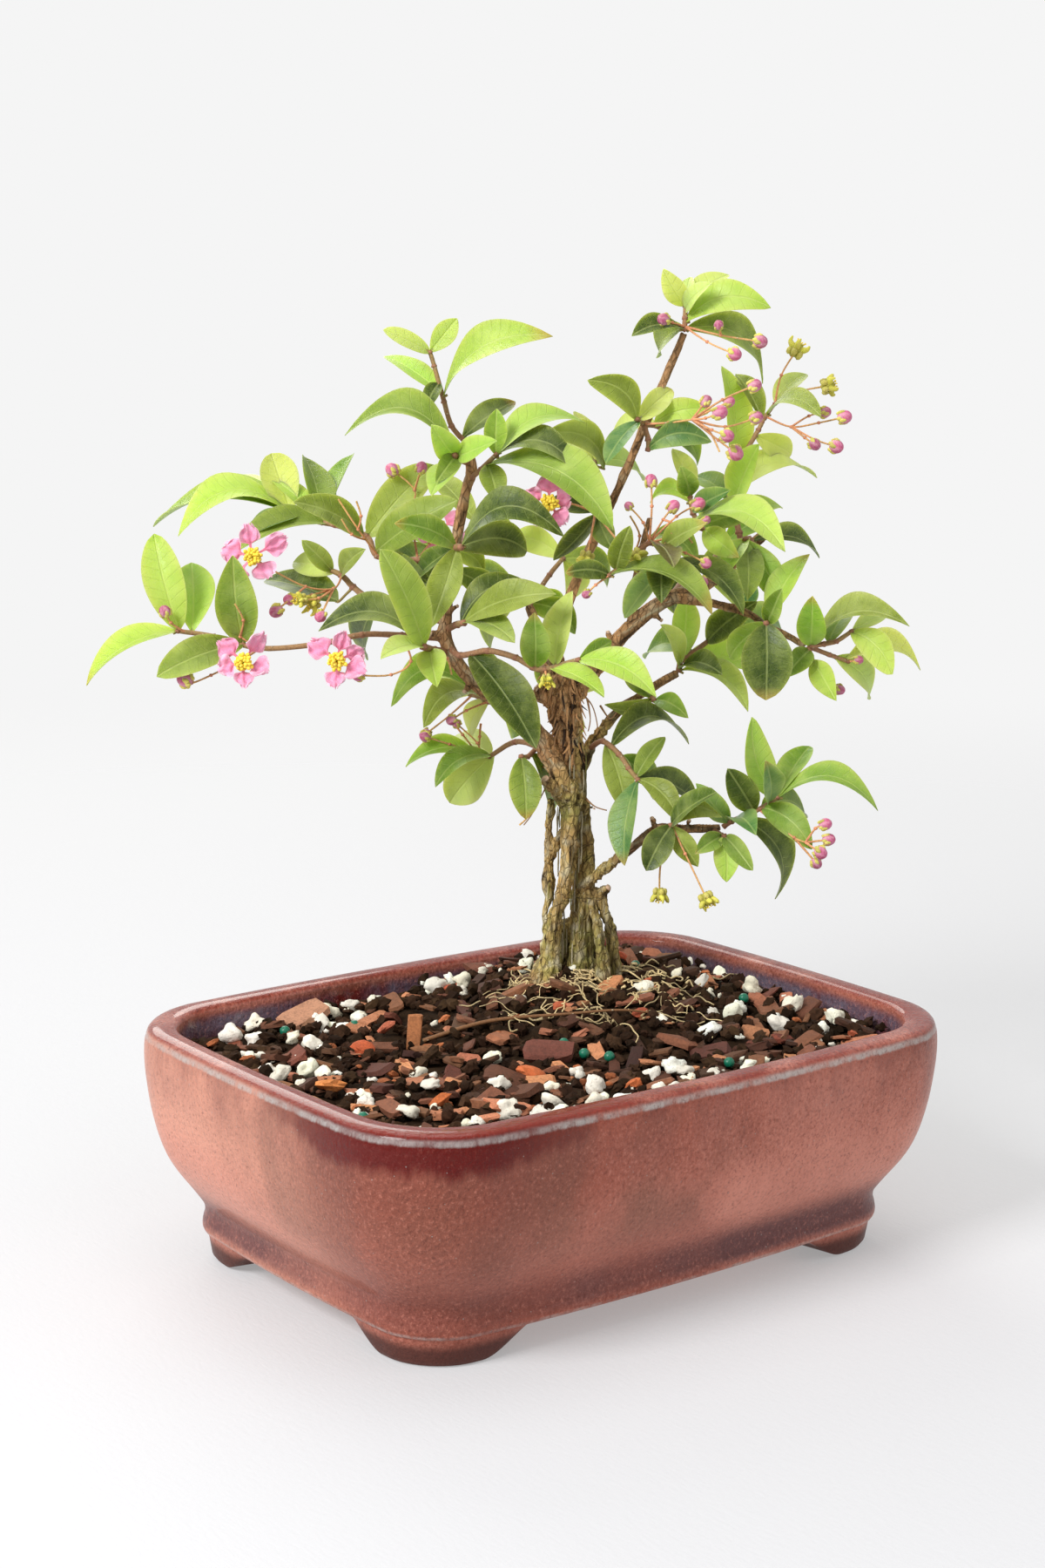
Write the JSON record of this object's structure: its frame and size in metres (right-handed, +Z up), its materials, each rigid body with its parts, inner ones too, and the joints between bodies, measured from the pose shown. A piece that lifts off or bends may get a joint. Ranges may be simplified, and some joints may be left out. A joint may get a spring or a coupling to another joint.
{
  "type": "barbados cherry bonsai in a pot",
  "caption": "Small barbados cherry bonsai with a twisted bare trunk, leafy limbs and pink fringed flowers, standing in a low rectangular glazed pot on corner feet.",
  "frame": {"origin": "bottom centre of the box round tree and pot, on the surface that the pot's feet stand on", "axes": "+Z up along the tree, +X along the pot's long side, +Y towards the pot's back, where the trunk stands right of the middle"},
  "size_m": [0.234, 0.232, 0.2873],
  "materials": {
    "glaze": "glossy oxblood glaze, dusty rose where it runs thin",
    "screen": "dark green moulded mesh",
    "soil": "loose dark mix of bark chips and crumbs",
    "bark": "ridged brown bark with grey-green lichen",
    "leaf": "smooth satin leaf, lighter midrib",
    "petal": "soft crinkled pink petal",
    "stamen": "matt yellow",
    "perlite": "rough white expanded mineral"
  },
  "bodies": {
    "root": {"pot": "glaze", "drain_screen_left": "screen", "drain_screen_right": "screen", "soil": "soil", "trunk": "bark", "bloom_left_low": "petal", "bloom_left_low_stamens": "stamen", "bloom_left_high": "petal", "bloom_left_high_stamens": "stamen", "bloom_left_front": "petal", "bloom_left_front_stamens": "stamen", "bloom_shade": "petal", "bloom_shade_stamens": "stamen", "bloom_centre": "petal", "bloom_centre_stamens": "stamen", "shoot_left_low": "leaf", "shoot_left_middle": "leaf", "shoot_left_upper": "leaf", "shoot_left_inner": "leaf", "shoot_left_shade": "leaf", "shoot_left_front": "leaf", "shoot_left_high": "leaf", "shoot_crown_left": "leaf", "shoot_crown_left_tip": "leaf", "shoot_crown_side": "leaf", "shoot_front": "leaf", "shoot_left_lowest": "leaf", "shoot_leader_middle": "leaf", "shoot_leader_upper": "leaf", "shoot_leader_top": "leaf", "shoot_centre": "leaf", "shoot_low_inner": "leaf", "shoot_low_curl": "leaf", "shoot_right_inner": "leaf", "shoot_right_upper": "leaf", "shoot_right_stub": "leaf", "shoot_right_tip": "leaf", "shoot_right_heart": "leaf", "shoot_low_side": "leaf", "shoot_low_right": "leaf", "shoot_low_front": "leaf", "shoot_low_hanging": "leaf", "shoot_back_left": "leaf", "shoot_back_trunk": "leaf", "shoot_back_right": "leaf", "shoot_back_low": "leaf"}
  },
  "joints": []
}
